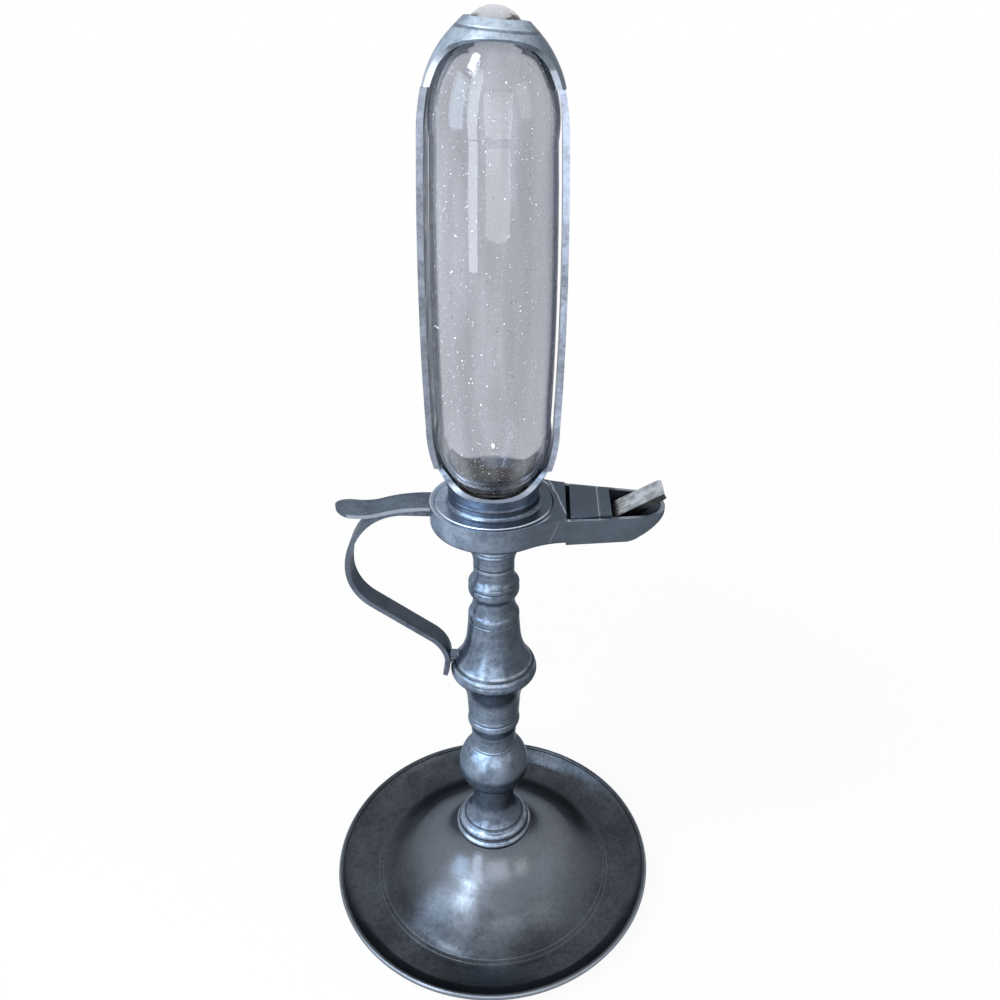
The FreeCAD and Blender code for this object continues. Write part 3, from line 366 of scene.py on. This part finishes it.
handleLook = dict(pewterLook, light=colour(118, 128, 144), middle=colour(78, 86, 98))
handleWear = {"outside": (-1.0, 0.0, 0.15), "inside": (0.15, -0.35), "darkeningAndShade": 0.7}


def handleMarks(shader, x, y, z):
    # painted shade on the faces inside the bow
    inside = shader.step(shader.facing(handleWear["outside"]), *handleWear["inside"])
    return 0.0, inside * handleWear["darkeningAndShade"], 0.0, 0.0


dress(["handle_strap"], pewter("handlePewter", handleLook, handleMarks))

# Bare solder

solderLook = dict(pewterLook, light=colour(222, 226, 232), middle=colour(140, 148, 160),
                  dark=colour(70, 76, 84), patch=2.4 * mm, speck=0.8 * mm, smooth=0.3,
                  rough=0.55, unevenness=0.3 * mm, turnedLines=0.0)
solderFinish = pewter("solder", solderLook)

# The cage: lighter and bluer, its straps rubbed bright on their edges and inner faces

cageLook = dict(pewterLook, light=colour(152, 164, 184), middle=colour(98, 107, 122),
                dark=colour(50, 56, 66), bare=colour(226, 232, 242), patch=9 * mm,
                turnedLines=0.0)
cageEdge = (6.2, 7.0)
strapWear = {
    "grain": 1.4 * mm, "edgeBare": 0.25, "edgeHeight": 0.08,
    "inner": (-6, -12), "innerBare": 0.55, "paintedShade": (-10, -15), "paintedShadeShare": 0.5,
}


def strapMarks(shader, x, y, z):
    grain = shader.noise(shader.place(), strapWear["grain"], detail=4.0, roughness=0.7)
    edge = shader.step(abs(y), *cageEdge) * grain
    inner = shader.step(shader.facing((1, 0, 0)) * x, *strapWear["inner"])
    bare = (edge * strapWear["edgeBare"]).lightest(inner * strapWear["innerBare"])
    # painted shade on the left strap
    paintedShade = shader.step(x, *strapWear["paintedShade"]) * strapWear["paintedShadeShare"]
    return bare, 0.0, edge * strapWear["edgeHeight"], paintedShade


dress(["strap_left", "strap_right"], pewter("strapPewter", cageLook, strapMarks))

# The crown: a groove round its slope, solder down its left arm, painted shade on the flame's side

crownLook = dict(cageLook, light=colour(196, 211, 226), middle=colour(142, 155, 172),
                 paintedShade=colour(84, 92, 100))
crownWear = {
    "grain": 1.2 * mm, "lean": math.tan(math.radians(4.3)),
    "groove": 334.9, "grooveWidth": 0.5, "grooveDepth": 0.2, "grooveDark": 0.5,
    "joint": (strapTop + 11.0, strapTop), "solderSide": (-11, -15),
    "solderBare": 1.1, "solderHeight": 0.5, "edgeBare": 0.15,
    "paintedShade": (2, 15), "paintedShadeShare": 0.75,
}


def crownMarks(shader, x, y, z):
    wear = crownWear
    grain = shader.noise(shader.place(), wear["grain"], detail=4.0, roughness=0.8)
    groove = shader.line(z + x * wear["lean"], wear["groove"], wear["grooveWidth"])
    joint = shader.step(z, *wear["joint"])
    solder = joint * shader.step(x, *wear["solderSide"]) * grain
    edge = shader.step(abs(y), *cageEdge) * joint
    bare = (solder * wear["solderBare"] + edge * wear["edgeBare"]).darkest(1.0)
    relief = solder * wear["solderHeight"] - groove * wear["grooveDepth"]
    # painted shade on the flame's side
    paintedShade = shader.step(x, *wear["paintedShade"]) * wear["paintedShadeShare"]
    return bare, groove * wear["grooveDark"], relief, paintedShade


dress(["crown"], pewter("crownPewter", crownLook, crownMarks))

# The foot of the cage: the screw under the flange is cut as one rising groove

collarWear = {
    "grain": 1.2 * mm, "grainBare": 0.4, "lip": (195.5, 196.5),
    "below": (socketTop + 0.2, socketTop - 0.1),
    "lead": 3.0, "threadDepth": 0.5, "threadDark": 0.8,
}


def collarMarks(shader, x, y, z):
    turn = shader.node("Math", {"operation": "ARCTAN2"}, {0: y, 1: x}) / (2 * math.pi)
    wave = shader.node("Math", {"operation": "PINGPONG"},
                       {0: z / collarWear["lead"] - turn, 1: 0.5})
    below = shader.step(z, *collarWear["below"])
    lip = upward(shader) * shader.step(z, *collarWear["lip"])
    grain = shader.noise(shader.place(), collarWear["grain"], detail=4.0, roughness=0.7)
    return (lip * (grain + collarWear["grainBare"]),
            (0.5 - wave) * below * collarWear["threadDark"],
            wave * below * collarWear["threadDepth"], 0.0)


dress(["cage_collar"], pewter("collarPewter", pewterLook, collarMarks))
print("cage dressed")

# The wick holder: worn silver at the top, brown and sooty near the bridge, painted shade
# underneath

wickLook = {
    "light": colour(184, 192, 202), "middle": colour(116, 121, 128), "dark": colour(34, 33, 32),
    "rust": colour(96, 74, 54), "patch": 5 * mm, "tones": (0.36, 0.6),
    "scratch": 2.4 * mm, "scratchStretch": (0.4, 2.2, 0.4), "rough": (0.34, 0.24),
    "unevenness": 0.015 * mm,
    "rusty": (46.0, 41.0), "rustWander": 5, "rustScratches": (0.65, 0.4),
    "under": (0.515, 0.0, -0.857), "shaded": (-0.7, -0.2), "shade": 0.9,
}


def wickPewter():
    material, shader = newMaterial("wickPewter")
    place = shader.place()
    patches = shader.noise(place, wickLook["patch"], detail=4.0, roughness=0.65)
    scratches = shader.noise(place, wickLook["scratch"], detail=3.0, roughness=0.6,
                             stretch=wickLook["scratchStretch"])
    tone = shader.step(patches * 0.6 + scratches * 0.4, *wickLook["tones"])
    along = shader.parts(place)[0] / mm + (patches - 0.5) * wickLook["rustWander"]
    rust = shader.step(along, *wickLook["rusty"])
    rust = rust * shader.step(scratches, *wickLook["rustScratches"])
    # painted shade on the sides and underside
    shade = shader.step(shader.facing(wickLook["under"]), *wickLook["shaded"])
    tint = shader.blend(tone, wickLook["middle"], wickLook["light"])
    tint = shader.blend(rust, tint, wickLook["rust"])
    tint = shader.blend(shade * wickLook["shade"], tint, wickLook["dark"])
    shader.finish(shader.node("BsdfPrincipled", values={
        "Base Color": tint, "Roughness": between(tone, *wickLook["rough"]), "Metallic": 1.0,
        "Normal": shader.bump(scratches + patches, wickLook["unevenness"])}))
    return material


dress(["wick_holder"], wickPewter())

# Leather washer, and cork packing soaked with old oil

leatherLook = {"light": colour(92, 68, 48), "dark": colour(50, 36, 26), "grain": 1.4 * mm,
               "tones": (0.38, 0.62), "rough": (0.6, 0.8), "depth": 0.2 * mm}
corkLook = dict(leatherLook, light=colour(96, 86, 74), dark=colour(44, 38, 32),
                grain=1.8 * mm, depth=0.3 * mm)


def grained(name, look):
    material, shader = newMaterial(name)
    grain = shader.noise(shader.place(), look["grain"], detail=5.0, roughness=0.7)
    tint = shader.blend(shader.step(grain, *look["tones"]), look["dark"], look["light"])
    shader.finish(shader.node("BsdfPrincipled", values={
        "Base Color": tint, "Roughness": between(grain, *look["rough"]),
        "Normal": shader.bump(grain, look["depth"])}))
    return material


dress(["leather_washer"], grained("washerLeather", leatherLook))
dress(["neck_packing"], grained("packingCork", corkLook))

# Blown glass, faintly grey and a little wavy, with a thin film and some dust on it

glassLook = {
    "tint": (0.62, 0.63, 0.67, 1.0), "ior": 1.46,
    "wave": 26 * mm, "waveStretch": (1, 1, 0.35), "waveDepth": 0.16 * mm,
    "film": (0.95, 0.95, 0.98, 1.0), "filmShare": 0.1, "filmRough": 0.5,
    "streak": 9 * mm, "streakStretch": (1, 1, 0.12), "streaks": (0.35, 0.7),
    "dust": 1.0 * mm, "dustSteps": (0.66, 0.72), "dustShare": 0.75,
}


def blownGlass():
    material, shader = newMaterial("blownGlass")
    place = shader.place()
    wave = shader.noise(place, glassLook["wave"], detail=1.0, roughness=0.4,
                        stretch=glassLook["waveStretch"])
    streaks = shader.noise(place, glassLook["streak"], detail=3.0, roughness=0.6,
                           stretch=glassLook["streakStretch"])
    dust = shader.noise(place, glassLook["dust"], detail=2.0, roughness=0.8)
    clear = shader.node("BsdfPrincipled", values={
        "Base Color": glassLook["tint"], "Roughness": 0.0, "IOR": glassLook["ior"],
        "Transmission Weight": 1.0, "Normal": shader.bump(wave, glassLook["waveDepth"])})
    film = shader.node("BsdfPrincipled", values={
        "Base Color": glassLook["film"], "Roughness": glassLook["filmRough"]})
    share = (shader.step(streaks, *glassLook["streaks"]) * glassLook["filmShare"]
             + shader.step(dust, *glassLook["dustSteps"]) * glassLook["dustShare"])
    shader.finish(shader.node("MixShader", values={0: share, 1: clear, 2: film}))
    return material


dress(["glass_reservoir"], blownGlass())
print("glass and soft parts dressed")


def addPiece(name, mesh, body, material):
    bmesh.ops.recalc_face_normals(mesh, faces=mesh.faces)
    for face in mesh.faces:
        face.smooth = True
    for edge in mesh.edges:
        edge.smooth = edge.calc_face_angle(0) < creaseAngle
    piece = meshObject(name, mesh)
    piece.data.materials.append(material)
    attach(piece, body)
    return piece


def copied(source):
    mesh = bmesh.new()
    mesh.from_mesh(nodes[source].data)
    bmesh.ops.remove_doubles(mesh, verts=mesh.verts, dist=weldDistance)
    return mesh


def swap(name, mesh, source, body):
    piece = addPiece(name, mesh, body, nodes[source].data.materials[0])
    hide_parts(source)
    return piece


# Solder run round the foot of the socket ring

ringLook = {"width": 1.3, "height": 1.2, "belly": 0.55, "overlap": 0.15, "sink": 0.1,
            "steps": 240, "lump": 1.4 * mm, "lumpDepth": 0.45 * mm}


def solderRing():
    mesh = bmesh.new()
    inner = (socketHigh.x - socketLow.x) / 2 - ringLook["overlap"] * mm
    base = fontTop * mm - ringLook["sink"] * mm
    width, height, belly = ringLook["width"], ringLook["height"], ringLook["belly"]
    section = ((0, 0), (width, 0), (width * belly, height * belly), (0, height))
    corners = [mesh.verts.new((inner + across * mm, 0, base + up * mm)) for across, up in section]
    edges = [mesh.edges.new((corners[i], corners[(i + 1) % 4])) for i in range(4)]
    bmesh.ops.spin(mesh, geom=corners + edges, axis=(0, 0, 1), cent=(0, 0, 0),
                   steps=ringLook["steps"], angle=2 * math.pi, use_merge=True)
    piece = addPiece("solder_ring", mesh, "stand", solderFinish)
    lumps = bpy.data.textures.new("solderLumps", "CLOUDS")
    lumps.noise_scale = ringLook["lump"]
    waver = piece.modifiers.new("lumps", "DISPLACE")
    waver.texture = lumps
    waver.texture_coords = "OBJECT"
    waver.strength = ringLook["lumpDepth"]


solderRing()

# Hour marks cast on the outer face of the left strap, evening at the top

hourMarks = {
    "hours": ("VIII", "IX", "X", "XI", "XII", "I", "II", "III", "IIII", "V", "VI", "VII"),
    "top": 300.0, "bottom": 222.0, "height": 3.6, "stroke": 0.55, "relief": 0.22,
    "pitch": 1.25, "wide": 2.6, "narrow": 1.0, "spread": 0.85, "away": 60 * mm,
}
# each letter's bars, as the places across it of their feet and heads
letterBars = {"I": ((0, 0),), "V": ((0, -1), (0, 1)), "X": ((-1, 1), (1, -1))}


def addBar(mesh, start, end, hit, normal):
    # one bar of a letter, laid on the strap at the height of its hour
    bar = bmesh.ops.create_cube(mesh, size=1)["verts"]
    size = (hourMarks["relief"] * 2, hourMarks["stroke"], (end - start).length)
    lean = Vector((0, 0, 1)).rotation_difference((end - start).normalized())
    tilt = Vector((-1, 0, 0)).rotation_difference(normal)
    bmesh.ops.scale(mesh, verts=bar, vec=size)
    bmesh.ops.rotate(mesh, verts=bar, cent=(0, 0, 0), matrix=lean.to_matrix())
    bmesh.ops.translate(mesh, verts=bar, vec=(start + end) / 2)
    bmesh.ops.scale(mesh, verts=bar, vec=(mm, mm, mm))
    bmesh.ops.rotate(mesh, verts=bar, cent=(0, 0, 0), matrix=tilt.to_matrix())
    bmesh.ops.translate(mesh, verts=bar, vec=hit)


def hourScale():
    strap = nodes["strap_left"]
    outside = BVHTree.FromObject(strap, bpy.context.evaluated_depsgraph_get())
    mesh = bmesh.new()
    spacing = (hourMarks["top"] - hourMarks["bottom"]) / (len(hourMarks["hours"]) - 1)
    half = hourMarks["height"] / 2
    pitch = hourMarks["pitch"]
    spread = hourMarks["spread"] * pitch
    for index, hour in enumerate(hourMarks["hours"]):
        source = Vector((-hourMarks["away"], 0, (hourMarks["top"] - index * spacing) * mm))
        hit, normal, _, _ = outside.ray_cast(source, Vector((1, 0, 0)))
        widths = [hourMarks["wide" if letter in "VX" else "narrow"] for letter in hour]
        along = -sum(widths) * pitch / 2
        for letter, width in zip(hour, widths):
            middle = along + width * pitch / 2
            for foot, head in letterBars[letter]:
                start = Vector((0, -(middle + foot * spread), -half))
                end = Vector((0, -(middle + head * spread), half))
                addBar(mesh, start, end, hit, normal)
            along += width * pitch
    addPiece("hour_marks", mesh, "reservoir", strap.data.materials[0])


hourScale()
print("hour marks cast")

# The glass's nipple is blown wider than the solid's, and the crown's mouth is wider to clear it

topShape = {"nippleFrom": 335.6, "nippleWider": 1.22,
            "mouthRadius": 7.0, "mouthFrom": 334.0, "mouthWider": 1.17}


def shapedTop():
    glass = copied("glass_reservoir")
    nipple = [vert for vert in glass.verts if vert.co.z / mm > topShape["nippleFrom"]]
    bmesh.ops.scale(glass, verts=nipple, vec=(topShape["nippleWider"],) * 2 + (1,))
    crown = copied("crown")
    mouth = [vert for vert in crown.verts if vert.co.z / mm > topShape["mouthFrom"]
             and vert.co.xy.length / mm < topShape["mouthRadius"]]
    bmesh.ops.scale(crown, verts=mouth, vec=(topShape["mouthWider"],) * 2 + (1,))
    swap("cage_crown", crown, "crown", "reservoir")
    return swap("glass_bottle", glass, "glass_reservoir", "reservoir")


bottle = shapedTop()
print("top of the glass and crown shaped")

# The dish is worn soft where its dome meets the well

dishShape = {
    "from": 36.0, "to": 60.0, "corner": 48.5, "slope": 0.8, "well": 53.0, "wellSlope": 0.26,
    "under": 1.2, "cutWithin": 0.0001 * mm, "longEdge": 1.2 * mm, "cuts": 2,
    "rounds": 160, "smoothing": 0.5, "steps": 256,
}


def onTop(spot):
    # above the middle of the dish's wall
    radius = spot.x / mm
    middle = (dishShape["under"] + max(0, dishShape["corner"] - radius) * dishShape["slope"]
              + max(0, radius - dishShape["well"]) * dishShape["wellSlope"])
    return dishShape["from"] < radius < dishShape["to"] and spot.z / mm > middle


def softDish():
    # the dish's section is cut out, smoothed and spun again
    mesh = copied("base_dish")
    parts = mesh.verts[:] + mesh.edges[:] + mesh.faces[:]
    cut = bmesh.ops.bisect_plane(mesh, geom=parts, plane_co=(0, 0, 0), plane_no=(0, 1, 0),
                                 dist=dishShape["cutWithin"])
    section = {part for part in cut["geom_cut"] if isinstance(part, bmesh.types.BMEdge)
               and part.verts[0].co.x > 0}
    bmesh.ops.delete(mesh, geom=mesh.faces[:], context="FACES_ONLY")
    others = [edge for edge in mesh.edges if edge not in section]
    bmesh.ops.delete(mesh, geom=others, context="EDGES")
    long = [edge for edge in mesh.edges if edge.calc_length() > dishShape["longEdge"]]
    bmesh.ops.subdivide_edges(mesh, edges=long, cuts=dishShape["cuts"])
    for _ in range(dishShape["rounds"]):
        bmesh.ops.smooth_vert(mesh, verts=[vert for vert in mesh.verts if onTop(vert.co)],
                              factor=dishShape["smoothing"], use_axis_x=True,
                              use_axis_y=False, use_axis_z=True)
    bmesh.ops.spin(mesh, geom=mesh.verts[:] + mesh.edges[:], axis=(0, 0, 1), cent=(0, 0, 0),
                   steps=dishShape["steps"], angle=2 * math.pi, use_merge=True)
    swap("drip_dish", mesh, "base_dish", "stand")


softDish()
print("dish softened")

# Solder that closes the handle's tail against the bell, drawn further down than the solid's

tailDeeper = 1.7


def tailSolder():
    mesh = copied("handle_gusset")
    top = max(vert.co.z for vert in mesh.verts)
    bmesh.ops.scale(mesh, verts=mesh.verts, vec=(1, 1, tailDeeper),
                    space=Matrix.Translation((0, 0, -top)))
    swap("tail_solder", mesh, "handle_gusset", "stand")


tailSolder()

# Seeds in the glass, and one blister near the bottom

seedLook = {
    "draw": 7, "count": 400, "small": 0.10, "large": 0.30, "low": 214, "high": 326,
    "blister": 0.8, "blisterTurn": -88.0, "blisterHeight": 219.0, "away": 40 * mm,
    "long": 1.5, "sunk": 0.6, "fineFrom": 0.5, "rough": 0.2, "cloud": 3 * mm,
    "shade": (0.86, 0.88, 0.92, 1.0),
}


def seedMaterial():
    material, shader = newMaterial("glassSeed")
    cloud = shader.noise(shader.place(), seedLook["cloud"])
    shader.finish(shader.node("BsdfPrincipled", values={
        "Base Color": shader.blend(cloud, white, seedLook["shade"]),
        "Roughness": seedLook["rough"], "Metallic": 1.0}))
    return material


def seeds():
    wall = BVHTree.FromObject(bottle, bpy.context.evaluated_depsgraph_get())
    mesh = bmesh.new()
    chance = random.Random(seedLook["draw"])
    spots = [(math.radians(seedLook["blisterTurn"]), seedLook["blisterHeight"],
              seedLook["blister"])]
    for _ in range(seedLook["count"]):
        size = between(chance.random() ** 3, seedLook["small"], seedLook["large"])
        spots.append((chance.uniform(0, 2 * math.pi),
                      chance.uniform(seedLook["low"], seedLook["high"]), size))
    for turn, level, radius in spots:
        outward = Vector((math.cos(turn), math.sin(turn), 0))
        source = Vector((0, 0, level * mm)) + outward * seedLook["away"]
        hit, _, _, _ = wall.ray_cast(source, -outward)
        ball = bmesh.ops.create_icosphere(mesh, radius=radius * mm,
                                          subdivisions=1 if radius < seedLook["fineFrom"] else 3)
        bmesh.ops.scale(mesh, verts=ball["verts"], vec=(1, 1, seedLook["long"]))
        bmesh.ops.translate(mesh, verts=ball["verts"],
                            vec=hit - outward * seedLook["sunk"] * radius * mm)
    addPiece("glass_seeds", mesh, "reservoir", seedMaterial())


seeds()
print("solder and seeds added")

# Floor and backdrop, white where the camera sees them and dimmer as light

floorLook = {"size": 12.0, "tone": 0.9, "nearGlow": 0.93, "farGlow": 0.99, "away": (0.1, 0.5)}
worldLevels = (0.35, 1.0)


def seen(shader):
    # 1 for rays from the camera, by way of a reflection or the glass too
    rays = [shader.node("LightPath", output=ray)
            for ray in ("Is Camera Ray", "Is Glossy Ray", "Is Transmission Ray")]
    return sum(rays).darkest(1.0)


def paleFloor():
    mesh = bmesh.new()
    bmesh.ops.create_grid(mesh, x_segments=1, y_segments=1, size=floorLook["size"] / 2)
    floor = meshObject("floor", mesh)
    material, shader = newMaterial("paleFloor")
    matt = shader.node("BsdfDiffuse", values={"Color": (floorLook["tone"],) * 3 + (1,)})
    glow = shader.node("Emission", values={"Color": white, "Strength": 1.0})
    x, y, _ = shader.parts(shader.place())
    away = shader.step((x * x + y * y) ** 0.5, *floorLook["away"])
    share = between(away, floorLook["nearGlow"], floorLook["farGlow"])
    shader.finish(shader.node("MixShader", values={0: seen(shader) * share, 1: matt, 2: glow}))
    floor.data.materials.append(material)


def paleWorld():
    world = bpy.data.worlds.new("studio")
    bpy.context.scene.world = world
    world.use_nodes = True
    shader = Shader(world.node_tree)
    sky = shader.node("Background", values={
        "Color": white, "Strength": between(seen(shader), *worldLevels)})
    shader.node("OutputWorld", values={"Surface": sky})


paleFloor()
paleWorld()

# Studio lamps: two window panes and a skylight left of the camera, a curtained window beside
# it and a warm fill on the right

lamps = {
    "window": {"turn": -66, "distance": 0.62, "level": 0.46, "size": (0.34, 0.5),
               "glow": 4.0, "tint": (0.66, 0.83, 1.0)},
    "pane": {"turn": -34, "distance": 0.62, "level": 0.45, "size": (0.22, 0.8),
             "glow": 4.6, "tint": (0.84, 0.92, 1.0)},
    "curtain": {"turn": 10, "distance": 0.5, "level": 0.36, "size": (0.44, 0.4),
                "glow": 1.9, "tint": (0.97, 0.97, 1.0)},
    "skylight": {"turn": -56, "distance": 0.415, "level": 0.83, "size": (0.16, 0.2),
                 "glow": 18.0, "tint": (0.8, 0.9, 1.0)},
    "fill": {"turn": 60, "distance": 0.9, "level": 0.6, "size": (0.4, 0.5),
             "glow": 1.5, "tint": (1.0, 0.95, 0.88)},
}
aim = Vector((0, 0, 0.16))


def addLamps():
    for name, lamp in lamps.items():
        turn = math.radians(lamp["turn"])
        wide, tall = lamp["size"]
        data = bpy.data.lights.new(name, "AREA")
        data.shape = "RECTANGLE"
        data.size, data.size_y = wide, tall
        data.energy = lamp["glow"] * math.pi * wide * tall
        data.color = lamp["tint"]
        light = addObject(name, data)
        light.location = (math.sin(turn) * lamp["distance"],
                          -math.cos(turn) * lamp["distance"], lamp["level"])
        light.rotation_euler = (light.location - aim).to_track_quat("Z", "Y").to_euler()


addLamps()

# Camera at the photograph's angle

cameraFit = {
    "location": (12.91 * mm, -274.89 * mm, 343.66 * mm), "pitch": 29.47, "roll": 1.35,
    "lens": 32.57, "sensor": 36, "shift": (-0.0309, 0.003), "near": 0.01,
}


def addCamera():
    pitch = math.radians(cameraFit["pitch"])
    roll = math.radians(cameraFit["roll"])
    forward = Vector((0, math.cos(pitch), -math.sin(pitch)))
    level = Vector((1, 0, 0))
    rise = level.cross(forward)
    across = math.cos(roll) * level + math.sin(roll) * rise
    up = math.cos(roll) * rise - math.sin(roll) * level
    data = bpy.data.cameras.new("camera")
    data.sensor_width = cameraFit["sensor"]
    data.lens = cameraFit["lens"]
    data.shift_x, data.shift_y = cameraFit["shift"]
    data.clip_start = cameraFit["near"]
    camera = addObject("camera", data)
    turned = Matrix((across, up, -forward)).transposed().to_4x4()
    camera.matrix_world = Matrix.Translation(cameraFit["location"]) @ turned
    bpy.context.scene.camera = camera


addCamera()
bpy.context.scene.view_settings.view_transform = "Standard"
print("camera and lights placed")
